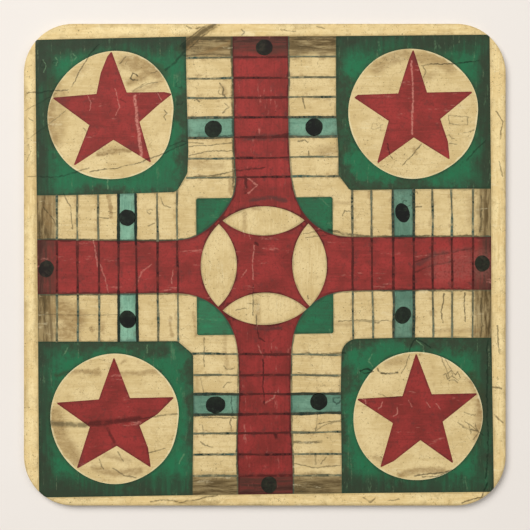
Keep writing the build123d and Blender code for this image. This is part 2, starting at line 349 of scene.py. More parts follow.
# Strokes of one width and strength, and one softness of the sides if it is given, stand together. Each stroke
# is x, y, x, y... from one point to the next. Dark hairline cracks and dark brush lines:
CRACK_SOFTNESS = 0.16
CRACKS = {
    (0.28, 0.85): [curl(-27.5, 39.5, 0.8)],
    (0.2, 0.55): [
        curl(-8.9, 36.6, 0.9, 1.2, 4.0), (38.8, 31.5, 42.8, 31.2, 42.8, 29.5, 39, 29.6, 38.8, 31.5)],
    (0.22, 0.7): [
        curl(17.4, 10.6, 0.9, 0.2, 3.4), (38.6, -23, 39.4, -22.4, 40.2, -23.2, 40.8, -22.6, 41.2, -23.8),
        (-21.3, 32.5, -20.6, 31.8, -21.3, 31.2, -21, 30.5), (33.3, 42, 34, 40.5, 33.5, 39.5),
        (-24.5, -39.8, -21, -38.7), (10.7, -35, 11, -33.6, 13, -33.1, 16, -33)],
    (0.3, 0.7): [
        curl(15.2, -28.6, 0.75, 1.0, 5.2), (-50, 36.2, -47, 36.4, -43, 36.7, -41.5, 36.9),
        (49.1, -12.8, 49.4, -18.5), (48.4, -31.6, 50.2, -33.4), (-24, -50, -21.4, -49.5, -18.4, -49.9),
        (48.7, 32.4, 50.2, 30.2, 49.6, 26.4), (-8.4, 34, -7.6, 33.2, -8.8, 32),
        (-14.8, 34.6, -14.3, 34.9, -13.8, 34.3), (7.8, 35, 8.2, 34, 8.4, 33), (9.2, 24, 9.4, 22.8),
        (7, 26, 8.5, 26.2, 9, 25.7), (-13.5, -32.2, -9, -32.1, -5.7, -32.3), (8, -18.7, 12, -18.8, 17, -18.6),
        (-18, -50.2, -13, -49.2, -10, -48.5), (-1.9, -10.5, -1.7, -14, -1.2, -15.5, 0, -16.2)],
    (0.22, 0.45): [curl(-46.6, 42.2, 0.7)],
    (0.18, 0.4): [curl(23.2, 29.1, 0.8, 0.4, 5.6), curl(25.2, 28.9, 0.9, 2.0, 4.4)],
    (0.2, 0.5): [
        curl(38.6, 26.9, 0.5, 0.0, 3.0), curl(-17.9, 34.3, 0.7, 2.6, 3.4), curl(-18.0, 37.8, 0.7, 2.2, 3.4),
        curl(-44.0, 42.6, 0.5), (-30.6, 35, -29.4, 34.4), (38, -19.8, 39.2, -22.2, 39.6, -23.4),
        (24, -27.2, 26, -27.9, 28.6, -27.8), (42, -31, 44.4, -31.8), (-22.4, 35.6, -22.1, 34.9),
        (-32.8, 11.2, -31.5, 11)],
    (0.22, 0.6): [
        curl(29.8, 12.9, 0.8, 1.4, 4.4), curl(31.6, 14.8, 0.7, 0.2, 3.6),
        (38.9, -24.4, 39.9, -24.2, 40.6, -24.8), (7, -22.8, 10.2, -23.3, 14, -23.2),
        (15.5, -11.9, 21, -11.6, 27, -11.9), (-26.5, 37.2, -24.5, 38.2, -22.5, 38.5),
        (42.2, -33, 44, -34.4, 46, -36), (-8.7, -21.3, -8, -22, -6.5, -22), (-8.7, -26, -8, -24.8, -7, -24.7),
        (44.3, -33.4, 44.9, -35.4, 44, -36.8), (42.9, -33.6, 43.4, -35.4)],
    (0.22, 0.5): [
        curl(-24.3, 11.3, 0.5), (-50, 26.5, -46, 29.2, -42, 32.5), (-50.5, 32.5, -47, 34.4, -44, 36),
        (-47, -10.4, -40, -10.7, -30, -10.5), (8, 6.6, 12, 7)],
    (0.22, 0.55): [
        curl(0.6, -18.2, 0.8, 2.8, 3.6), (-50.4, 21.6, -49.4, 23.5, -49.9, 25.4), (-49.8, 31, -48.9, 30.2),
        (-38.4, 28.8, -37.6, 27.6), (8.5, 5.7, 13, 6.2), (-9.5, 30, -12, 29.2)],
    (0.25, 0.55): [(40.6, -33.2, 42.6, -34.6, 44.8, -35), (11, -31, 11, -34.6), (-6.2, -9.6, -4, -9.4)],
    (0.25, 0.6): [
        (-49.9, 18.6, -45, 18.4), (11, 50.2, 12.6, 49.8), (3.4, 49.5, 6.5, 49.1), (49.4, 21.8, 50.1, 18.6),
        (42.6, 21.9, 44.6, 24.4, 46.6, 26.2), (-45, 18.5, -42.5, 18.7, -40, 19.5, -37, 20.4),
        (-31, -39.5, -29.8, -41.5), (-34.8, -41, -34, -43), (-32, -43, -29.5, -44.4, -27, -45),
        (-13.5, -37.3, -12.5, -38.1, -11, -38.5), (-22, 14, -21.3, 12.5, -19.8, 12.2), (9, -6.5, 9.1, -7.2),
        (-3.5, -8.3, -1.2, -8.3)],
    (0.3, 0.6): [
        (-16.6, 50.4, -15.6, 49.9), (26, -49.8, 28.2, -49.5), (-19.5, -6.2, -27, -6.2, -36, -6.3, -45, -6.35),
        (45.6, 14, 45.7, 10.5, 45.5, 7), (45.6, -7, 45.8, -12.2, 45.5, -15), (-17, 44.1, -12, 44.3, -7, 44.2),
        (-24.5, 8.2, -23.2, 8.8), (31.5, 0.5, 36, 2, 44, 3.5)],
    (0.35, 0.7): [(20.8, -49.2, 22.2, -50, 23.3, -49.3), (-14.5, 49.8, -9.5, 50.6), (48, -25.9, 49.8, -26.1)],
    (0.3, 0.75): [
        (-14.2, 26.6, -10.4, 26.8, -6.6, 27.4), (47, -16, 46.8, -28, 47.1, -38, 46.6, -45),
        (-9.4, 38.2, -8.6, 37, -8.9, 35.9, -8, 35), (41.6, -34.2, 43.2, -34.8, 44.9, -35)],
    (0.35, 0.75): [(10, -23.3, 15.6, -23.4)],
    (0.35, 0.6): [(12, -18.8, 16, -19.1), (-26.5, -32.5, -22, -31.8, -18.5, -31.5)],
    (0.25, 0.7): [
        (-25.5, 21.9, -21, 23.6, -16.6, 25.6), (-6.9, -27, -7.2, -29, -6.8, -31, -7.3, -33, -7, -35),
        (-35, 10, -33, 9.8), (31, 12, 33, 12.3), (-2.5, -4.5, -2.4, -8, -2.5, -10.6),
        (33, -44.8, 36.5, -44.5, 40, -43.2)],
    (0.55, 0.8): [(-7, 47.4, -6.8, 32, -6.6, 22, -6.6, 16)],
    (0.35, 0.8): [(-47, 5.3, -36, 5.25, -27, 5.15, -19.5, 5.2)],
    (0.4, 0.75): [(45, 6, 35.5, 6, 26.5, 5.95, 18.5, 6.05), (-15, 47.6, -6, 47.6), (-1, 27, 2, 27, 5, 27.5)],
    (0.3, 0.55): [
        (18.5, -5.65, 26.5, -5.5, 35.5, -5.45, 44, -5.45), (-5.75, -44, -5.75, -32, -5.65, -21),
        (6.05, -44, 5.65, -32, 5.65, -21), (31.5, -1.5, 36, 0, 40, 1)],
    (0.25, 0.5): [(10, -35.5, 13, -33.6, 16.5, -32.5), (-13.2, -33.8, -12.9, -36)],
    (0.25, 0.45): [(7, 46.2, 11, 45.6, 15.6, 46)],
    (0.3, 0.65): [(7, 47.9, 15.8, 47.9), (-16.4, 47.7, -7, 47.9)],
    (0.28, 0.6): [(6, -41.8, 11, -42.8, 15.8, -42.2), (-12.8, -15.4, -12.9, -21.5)],
    (0.28, 0.5): [(-13.4, -23.8, -12.9, -27)],
    (0.22, 0.8): [(-35, 46.5, -37, 44.2, -39.5, 40, -40.7, 37.5), (29, 21, 31, 23, 32, 24.5, 33, 25.5)],
    (0.2, 0.7): [
        (-30.5, 42.5, -29.8, 43.4, -29.3, 44),
        (37.5, -23.4, 38.3, -23.1, 38.6, -24.2, 39.5, -23.4, 40.5, -24.1)],
    (0.18, 0.5): [(-29.6, 42.3, -28.9, 43.2)],
    (0.2, 0.6): [
        (-24, 40.3, -22.7, 40.8), (-27.8, 36.6, -25, 38.4), (42, 27.7, 44, 28.3), (39.3, 26.7, 40, 26.6),
        (38.8, 25.5, 40.5, 25.5), (37.5, -20.3, 38.5, -22.5), (11.7, -42, 13, -40.7),
        (30.4, -19, 29.6, -21.4, 28.7, -22.9), (37, -19.2, 38.2, -21.8, 38.9, -24)],
    (0.22, 0.75): [(-37, 19.5, -32, 20.3, -25.5, 21.7)],
    (0.45, 0.6): [(-21, 41, -18.8, 42.6, -16.5, 45.5)],
    (0.3, 0.5): [(-20, 25, -17.5, 26, -13, 25.5)],
    (0.25, 0.8): [(33, 42, 35, 42.3, 40, 42.3, 45, 43), (26, 25.5, 26.2, 23.5, 26.7, 22.3)],
    (1.1, 0.68): [(-45, -33.5, -38, -33.8, -32, -33, -26.5, -32.5)],
    (0.6, 0.6): [(-33, -34.5, -31.8, -37.5)],
    (0.3, 0.9): [(20, -22.3, 21.5, -21.9, 22.8, -22.6, 21, -22.9, 20, -22.3)],
    (0.35, 0.9): [(23.8, -22, 24.5, -22.8, 26.5, -23.1, 28, -22.8)],
    (0.3, 0.85): [(47, -46, 46, -48, 45.8, -49, 44, -49.3, 41.5, -50.2)],
    (0.28, 0.75): [
        (30.5, -18, 31, -16.6, 31.8, -15.6, 33.5, -16.2, 35, -17.5), (45.5, 14.5, 45.8, 12, 45.5, 10)],
    (1.1, 0.85): [(-17, 46, -12.5, 49.5, -10.5, 50.5)],
    (0.3, 0.8): [
        (-17.8, 46.2, -14.6, 48.8, -12.2, 50.5), (-5, 49.5, -4.4, 48.9, -4.9, 48.3),
        (31.5, -44.6, 35, -44, 39, -43.6)],
    (0.28, 0.8): [
        (-16.4, 45.3, -13, 48.2, -10.2, 50.2), (42.3, -6, 42, -9, 42.3, -12),
        (37.6, -6, 37.5, -8, 37.2, -10, 37.6, -12)],
    (0.25, 0.65): [(-16, 24.9, -11.5, 25.1, -6.5, 25.9), (-16, 23, -12, 23.8, -7, 24.2)],
    (0.32, 0.7): [(-15, 18.5, -10.5, 18.8, -6, 19.8, 0, 20.5)],
    (0.7, 0.8): [(-4, 18.5, -4.1, 15.2), (2.1, -35.7, 2.3, -36.4)],
    (0.32, 0.85): [(-0.3, -20, -0.2, -22, -0.4, -25, -0.1, -29.3)],
    (0.55, 0.7): [(6, -37.4, 9, -37.5, 12, -37.3)],
    (0.4, 0.8): [(10.7, -40, 10.7, -42)],
    (0.25, 0.75): [(-46.5, 12, -45, 10, -44.2, 8.5)],
    (0.4, 0.55): [(20, -11.9, 24, -12.1)],
    (0.5, 0.7): [(-1.9, 4.5, -1.4, 4.2)],
    (0.22, 0.65): [(-40.5, 7.5, -40.9, 12, -42.5, 15)],
    (0.55, 0.75): [(13.6, 7.3, 16.4, 6.5, 19.5, 6.15)],
}

# Pale scratches that show lighter paint:
SCRATCH_SOFTNESS = 0.14
SCRATCHES = {
    (0.6, 0.9): [(-27.4, 35.5, -26.9, 30, -26, 23)],
    (0.2, 0.6): [
        (-37.3, 35.5, -36.7, 34, -36.8, 32.5), (-31.6, 37, -31.2, 35.5, -30.6, 33.2, -31.5, 31.5),
        (-22.5, 36, -21.9, 34.8)],
    (0.22, 0.55): [(-46.7, 43.2, -46, 41.8, -46.7, 40.6)],
    (0.22, 0.5): [
        (-44.2, 43.8, -43.6, 42.8, -44, 42), (-40.3, 44.4, -39.7, 43.7, -40.2, 43), (30.4, -28.6, 31, -29.8),
        (-4.6, 7.2, -4.3, 6), (-3.4, 6.6, -3, 5.4)],
    (0.28, 0.6): [(-33.2, 18, -33.1, 16)],
    (0.35, 0.8): [(31, 43, 31.2, 36, 31.1, 27.5)],
    (0.25, 0.5): [
        (-42.5, -19, -41.5, -17.5), (-24.8, -17, -24.7, -18.5), (-17, -40, -18, -42),
        (22.6, -19, 21.8, -20.4, 22.6, -21.4), (-34.7, 0, -33.6, -3, -33, -5.8)],
    (0.24, 0.7): [
        (24.8, -29, 24.6, -29.8, 24, -30.5), (27.8, -30, 27.8, -31.5, 27, -32),
        (20.5, -28.3, 21.2, -28.6, 21.3, -29.3), (-2.2, 4, -2.6, 0, -2.4, -3)],
    (0.22, 0.6): [(34, -28.8, 34.8, -30), (36.2, -29.2, 37, -30.5), (-4, -1, -5, -2.5)],
    (0.25, 0.6): [(32, -16, 33.3, -17, 33.5, -18.5), (-19.3, -1, -19.7, -4)],
    (0.3, 0.6): [
        (-3.8, 18.3, -1.6, 16.8, -3.5, 15), (0.3, -29, 2, -28, 2.3, -27), (-36, 5, -35.6, 2, -35.2, -0.5)],
    (0.8, 0.35): [(-4.5, 48.5, -2.5, 48.5)],
    (0.3, 0.5): [(-1.5, -17, -0.5, -19), (-27, -4, -26, -1.5, -24, 0)],
    (0.9, 0.35): [(33, -5.8, 34, -5.8)],
    (0.25, 0.4): [(13.6, -13.6, 14.2, -15.4)],
    (0.22, 0.45): [(12.2, 13.6, 13.6, 12.2)],
    (6.5, 0.16, 3.0): [(37.5, -0.5, 45, 0)],
}

# Soft brown smudges:
SMUDGES = {
    (3.2, 0.7, 1.6): [(-29.2, 42.6, -26, 42.4, -22.6, 40.8)],
    (1.5, 0.7, 1.2): [(-28.6, 38.4, -24, 40.6, -21, 40.4)],
    (0.9, 0.5, 0.7): [(-27.5, 36.4, -23.5, 37.8, -21, 39.4), (23.3, -40.6, 25, -41.6)],
    (2.6, 0.7, 2.4): [(-44.6, 38, -45.2, 32, -44.6, 26)],
    (1.6, 0.4, 2.2): [(-42.8, 36, -43.2, 26)],
    (1.2, 0.35, 1.4): [(-40, 40, -38, 41.6)],
    (1.0, 0.8, 0.5): [(-35, 23.2, -31.5, 23.9, -28.6, 24)],
    (1.3, 0.4, 0.9): [(-34.5, 23.9, -29, 24.4, -26.4, 25.2)],
    (0.9, 0.6, 0.7): [(31.8, 23.5, 31.5, 24.3), (-30, -23, -22, -22.7)],
    (2.8, 0.6, 1.8): [(23.5, 41.5, 26, 43.2, 29.6, 44.4)],
    (2.6, 0.6, 1.8): [(32.5, 43.6, 36, 43.4, 39, 41.8)],
    (1.2, 0.4, 1.0): [(33.2, 39.2, 36, 40.4)],
    (1.0, 0.65, 0.8): [(-44, -23.3, -40, -22.6, -35, -22.7)],
    (0.8, 0.6, 0.6): [(-35.8, -22.3, -35.3, -22), (-30, -20.5, -29.5, -20.2)],
    (2.0, 0.6, 1.6): [(45, -27, 45.4, -32, 44.8, -37)],
    (1.2, 0.7, 0.8): [(28.5, -44.2, 33, -43.4, 37.5, -43.4)],
    (2.0, 0.85, 1.6): [(43.6, -23.5, 45.2, -27, 45.6, -31)],
    (1.8, 0.45, 1.8): [(26, -20.6, 29.5, -20.2)],
    (3.0, 0.65, 2.2): [(-44.2, -31.5, -42.8, -37, -39.8, -41)],
    (1.4, 0.65, 1.0): [(-36, -42.8, -31, -44.2, -26.6, -43.4)],
    (1.0, 0.5, 0.8): [(-33.5, -40.2, -28.6, -41.4)],
    (0.9, 0.8, 0.8): [(-4.2, 26.6, 2.6, 27.3)],
    (0.9, 0.85, 0.6): [(-3, 13.6, 0.5, 14.2, 4.5, 13.6)],
    (0.9, 0.8, 0.6): [(-2, -13.4, 3.4, -13.4)],
    (1.0, 0.8, 0.7): [(31.5, -0.5, 36, 2.3)],
    (0.6, 0.45, 0.5): [(36, 2.3, 44, 3.6)],
    (0.8, 0.45, 0.8): [(-14.4, -23, -14.2, -27), (36, -14, 45, -13.8)],
    (1.0, 0.4, 0.9): [(14.5, -12.6, 18, -12.5)],
    (0.7, 0.6, 0.5): [(-15, 43.5, -6, 47.5)],
    (0.8, 0.55, 0.6): [(-19, -50, -10, -50.1), (-2.5, 11.9, -1.3, 11.6)],
    (2.0, 0.65, 1.5): [(-17.5, 45.6, -13.5, 48.6, -11.5, 49.8)],
    (0.9, 0.55, 0.7): [(-9.2, 37.8, -8.5, 36)],
    (0.7, 0.5, 0.5): [(-7.1, 18.3, -7.1, 15)],
    (0.7, 0.4, 0.9): [(-8.4, -14, -8.1, -22)],
    (0.8, 0.7, 0.4): [(-32.8, 14.5, -32.5, 12, -32.5, 10)],
    (4.5, 0.75, 2.6): [(-43, -9.2, -40, -11.5, -41.5, -14)],
    (0.8, 0.7, 0.6): [(-36.6, -13.4, -36.3, -13.9)],
    (0.8, 0.5, 0.7): [(-34, -12, -34.2, -14)],
    (0.7, 0.55, 0.5): [(-20, -11, -19.6, -15)],
    (0.6, 0.5, 0.5): [(-15, -10, -14.8, -15)],
    (0.8, 0.4, 0.7): [(15, 13, 18.5, 13)],
    (0.9, 0.45, 0.6): [(-4.3, 12, -4.3, 7.5)],
    (0.9, 0.45, 0.7): [(-1.6, -7.4, -1.5, -12)],
    (2.4, 0.45, 2.0): [(12, 24, 16, 24.4)],
    (1.4, 0.4, 1.5): [(-15.5, 21.4, -9, 20.8)],
    (1.6, 0.35, 1.6): [(-12, 45, -8, 44.6)],
    (2.2, 0.5, 2.0): [(-45.5, 13.5, -45.5, 8.5)],
    (1.6, 0.35, 1.8): [(43.5, 9, 43.3, 14)],
    (1.8, 0.35, 1.8): [(8, -41, 14, -41.6)],
    (1.6, 0.7, 1.2): [(45.6, -28, 46, -31.5, 45.4, -34.5)],
    (0.6, 0.4, 0.6): [(-48.3, 35, -48.4, 10, -48.3, -20)],
    (0.8, 0.4, 0.8): [(-50.4, 37, -50.3, 24, -50.5, 12)],
    (0.7, 0.35, 0.8): [(-50.4, -8, -50.2, -30)],
}

# -------- painting

LIGHT = 1.1            # how bright a perfectly white surface comes out under these lamps
SHEEN = 0.018          # what the coat reflects on top of that


def shade(r, g, b):
    """The surface colour that looks like this 0-255 colour in the finished picture."""

    def linear(c):
        c /= 255
        c = c / 12.92 if c <= 0.04045 else ((c + 0.055) / 1.055) ** 2.4
        return max(c - SHEEN, 0.003) / LIGHT

    return (linear(r), linear(g), linear(b), 1.0)


def stroke_group():
    """A node group: how strongly one stroke covers a place, on top of what came before."""
    tree = bpy.data.node_groups.new("stroke", "ShaderNodeTree")
    for title, kind in (("Before", "Float"), ("Place", "Vector"), ("From", "Vector"), ("To", "Vector"),
                        ("Half", "Float"), ("Reach", "Float"), ("Strength", "Float")):
        tree.interface.new_socket(name=title, in_out="INPUT", socket_type="NodeSocket" + kind)
    tree.interface.new_socket(name="Mask", in_out="OUTPUT", socket_type="NodeSocketFloat")
    given = tree.nodes.new("NodeGroupInput").outputs

    def put(kind, operation, *values):
        node = tree.nodes.new(kind)
        if operation:
            node.operation = operation
        for value, socket in zip(values, node.inputs):
            tree.links.new(value, socket)
        return node

    to_place = put("ShaderNodeVectorMath", "SUBTRACT", given["Place"], given["From"]).outputs[0]
    along = put("ShaderNodeVectorMath", "SUBTRACT", given["To"], given["From"]).outputs[0]
    forward = put("ShaderNodeVectorMath", "DOT_PRODUCT", to_place, along).outputs["Value"]
    whole = put("ShaderNodeVectorMath", "DOT_PRODUCT", along, along).outputs["Value"]
    ratio = put("ShaderNodeMath", "DIVIDE", forward, whole).outputs[0]
    share = put("ShaderNodeClamp", None, ratio).outputs[0]
    near = put("ShaderNodeVectorMath", "SCALE", along)
    tree.links.new(share, near.inputs["Scale"])
    away = put("ShaderNodeVectorMath", "DISTANCE", to_place, near.outputs[0]).outputs["Value"]
    fade = put("ShaderNodeMapRange", None, away, given["Reach"], given["Half"])
    fade.interpolation_type = "SMOOTHSTEP"
    strong = put("ShaderNodeMath", "MULTIPLY", fade.outputs[0], given["Strength"]).outputs[0]
    covered = put("ShaderNodeMath", "MAXIMUM", strong, given["Before"]).outputs[0]
    tree.links.new(covered, tree.nodes.new("NodeGroupOutput").inputs[0])
    return tree


STROKE = stroke_group()


def strokes_near(marks, loops, least_soft=0.0):
    """The strokes of the marks that touch a piece, as (from, to, half width, reach, strength)."""
    spots = np.array([p for loop in loops for p in loop])
    low, high = spots.min(0), spots.max(0)
    tree = outline_tree(loops)
    found = []
    for (width, strength, *softness), lines in marks.items():
        side = softness[0] if softness else max(least_soft, 0.6 * width)
        reach = (width + side) / 2
        ends = [((x, y), (to_x, to_y)) for line in lines
                for x, y, to_x, to_y in zip(line[::2], line[1::2], line[2::2], line[3::2])]
        for a, b in ends:
            samples = np.linspace(a, b, 9)
            if (samples.max(0) < low - reach).any() or (samples.min(0) > high + reach).any():
                continue
            if inside(samples, loops).any() or clearance(samples, tree).min() < reach + 0.3:
                found.append((a, b, max(width - side, 0) / 2, reach, strength))
    return found


class Paint:
    """The nodes of one material. Each method adds nodes and returns an output."""

    def __init__(self, name, flat=True):
        self.material = bpy.data.materials.new(name)
        self.material.use_nodes = True
        self.tree = self.material.node_tree
        self.shader = next(n for n in self.tree.nodes if n.type == "BSDF_PRINCIPLED")
        self.flat = flat
        self.place = self.vector("SCALE", self.add("ShaderNodeTexCoord").outputs["Object"], scale=1 / MM)

    def join(self, value, socket):
        if isinstance(value, bpy.types.NodeSocket):
            self.tree.links.new(value, socket)
        elif value is not None:
            socket.default_value = value

    def add(self, kind, *values, **settings):
        node = self.tree.nodes.new(kind)
        for title, value in settings.items():
            setattr(node, title, value)
        for value, socket in zip(values, node.inputs):
            self.join(value, socket)
        return node

    def math(self, operation, *values, clamp=False):
        return self.add("ShaderNodeMath", *values, operation=operation, use_clamp=clamp).outputs[0]

    def times(self, *values):
        result = values[0]
        for value in values[1:]:
            result = self.math("MULTIPLY", result, value)
        return result

    def vector(self, operation, *values, scale=None):
        node = self.add("ShaderNodeVectorMath", *values, operation=operation)
        if scale is not None:
            self.join(scale, node.inputs["Scale"])
        return node.outputs[0]

    def axis(self, name):
        return self.add("ShaderNodeSeparateXYZ", self.place).outputs[name]

    def kept(self, title):
        """A distance stored in the mesh."""
        return self.add("ShaderNodeAttribute", attribute_name=title).outputs["Fac"]

    def ramp(self, value, start, end, low=0.0, high=1.0):
        return self.add("ShaderNodeMapRange", value, start, end, low, high,
                        interpolation_type="SMOOTHSTEP").outputs[0]

    def swing(self, value, reach):
        """Noise as a shift of up to reach either way."""
        return self.ramp(value, 0.3, 0.7, -reach, reach)

    def mix(self, under, over, share):
        """Two colours mixed. The numbers are the colour sockets of the node."""
        node = self.add("ShaderNodeMix", data_type="RGBA", blend_type="MIX")
        for value, socket in ((share, 0), (under, 6), (over, 7)):
            self.join(value, node.inputs[socket])
        return node.outputs[2]

    def noise(self, frequency, detail=2.0, shift=0.0, roughness=0.5, output=0):
        """Noise with frequency bumps a millimetre, or an (x, y) pair of them."""
        fx, fy = frequency if isinstance(frequency, tuple) else (frequency, frequency)
        fz = 0.0 if self.flat else (fx + fy) / 2
        spot = self.vector("MULTIPLY_ADD", self.place, (fx, fy, fz), (shift, shift * 0.7, 0.0))
        node = self.add("ShaderNodeTexNoise", spot, noise_dimensions="2D" if self.flat else "3D")
        node.inputs["Scale"].default_value = 1.0
        node.inputs["Detail"].default_value = detail
        node.inputs["Roughness"].default_value = roughness
        return node.outputs[output]

    def warped(self, wide, fine, shift):
        """The place, pushed about by noise, so that straight strokes waver."""
        slow = self.vector("SUBTRACT", self.noise(0.3, 1.0, shift, output=1), (0.5, 0.5, 0.5))
        quick = self.vector("SUBTRACT", self.noise(1.4, 2.0, shift + 9, output=1), (0.5, 0.5, 0.5))
        flat_place = self.vector("MULTIPLY", self.place, (1.0, 1.0, 0.0))
        moved = self.vector("MULTIPLY_ADD", slow, (wide, wide, 0.0), flat_place)
        return self.vector("MULTIPLY_ADD", quick, (fine, fine, 0.0), moved)

    def strokes(self, place, near, cover=None):
        """The cover of some strokes, on top of a cover that is there."""
        for a, b, half, reach, strength in near:
            cover = self.stroke(cover, place, (*a, 0.0), (*b, 0.0), half, reach, strength)
        return cover

    def stroke(self, *values):
        node = self.add("ShaderNodeGroup", node_tree=STROKE)
        for value, socket in zip(values, node.inputs):
            self.join(value, socket)
        return node.outputs[0]

    def finish(self, colour, rough, height=None, lift=0.004):
        self.join(colour, self.shader.inputs["Base Color"])
        self.join(rough, self.shader.inputs["Roughness"])
        self.shader.inputs["Specular IOR Level"].default_value = 0.2
        if height is not None:
            bump = self.add("ShaderNodeBump")
            bump.inputs["Strength"].default_value = 0.5
            bump.inputs["Distance"].default_value = lift * MM
            self.join(height, bump.inputs["Height"])
            self.join(bump.outputs[0], self.shader.inputs["Normal"])
        return self.material


# How each ink looks. base, dark and light are the three tones of its brushwork. crack, scratch, smudge and
# end are the colours of the wear in it. outline is the painted edge, with its width and strength; on the
# border it is also painted shade along the card's rounded cut edge. The last five say how strong the specks,
# edge dirt, clouds, strands and grazes are.
INKS = {
    "cream": dict(base=(230, 206, 150), dark=(208, 182, 128), light=(238, 216, 164), crack=(82, 74, 54),
                  scratch=(238, 224, 182), smudge=(150, 120, 78), end=(104, 86, 58),
                  outline=(120, 110, 78), width=0.35, strength=0.45,
                  specks=0.6, dirt=0.16, cloud=0.26, mottle=0.6, graze=0.35),
    # the border's outline also darkens the card's cut edge: partly the picture's own edge, partly painted
    # shade of the rounded rim
    "border": dict(base=(246, 220, 162), dark=(220, 192, 134), light=(252, 232, 178), crack=(96, 82, 56),
                   scratch=(247, 234, 194), smudge=(158, 132, 84),
                   outline=(176, 152, 104), width=0.4, strength=0.5,
                   specks=0.7, dirt=0.4, cloud=0.4, mottle=0.6, graze=0.35),
    "green": dict(base=(58, 112, 80), dark=(60, 98, 74), light=(52, 122, 86), crack=(38, 52, 42),
                  scratch=(116, 150, 112), smudge=(66, 72, 54),
                  outline=(48, 66, 52), width=0.5, strength=0.5,
                  specks=0.3, dirt=0.3, cloud=0.4, mottle=0.5, graze=0.35),
    "red": dict(base=(158, 66, 61), dark=(124, 58, 54), light=(172, 68, 66), crack=(74, 44, 42),
                scratch=(206, 136, 122), smudge=(98, 64, 60), end=(90, 64, 56),
                outline=(84, 46, 44), width=0.42, strength=0.8,
                specks=0.3, dirt=0.25, cloud=0.5, mottle=0.45, graze=0.5),
    "teal": dict(base=(120, 162, 138), dark=(94, 132, 113), light=(136, 178, 153), crack=(56, 74, 64),
                 scratch=(160, 188, 164), smudge=(96, 112, 92),
                 outline=(72, 100, 90), width=0.45, strength=0.6,
                 specks=0.3, dirt=0.4, cloud=0.4, mottle=0.55, graze=0.35),
}
INKS["disc"] = dict(INKS["cream"], outline=(242, 230, 186), strength=0.6, dirt=0.1)
INKS["star"] = dict(INKS["red"], dirt=0.15, outline=(112, 54, 52), width=0.36, strength=0.65)

# how far from the middle some wear starts, and where it is full
END_STAIN = (43.2, 44.9)           # brown stain of the end cells
END_DEEPER = (43.6, 46.6)          # the stain gets deeper
END_STREAKS = (44.6, 47.6)         # dark streaks in it
END_LATE = -0.8                    # how much further out the stain starts at the right, above the arm
SOUTH_END = (-44.2, -46.6)         # the cells at the bottom get darker still
PANEL_EDGE = (42.4, 46.2)          # grime of the green panels

PANEL_GLOW = (47, 118, 80)         # fresher paint of a green panel, towards its disc
PANEL_FRAME = (64, 70, 57)         # grime round a panel
PANEL_DUSK = (60, 70, 57)          # grime on the side of a panel that is next to the border
PANEL_SCRAPE = (122, 138, 106)     # short pale scrapes in that grime
SIDE_LINE = (66, 80, 70)           # the line drawn round the cross
LINE_FIRM = (36, 52, 46)           # a ruled line beside the marked cells
LINE_ON_RED = (68, 40, 37)         # a ruled line across an arm
WORN_ON_RED = (122, 58, 53)        # the same, worn thin


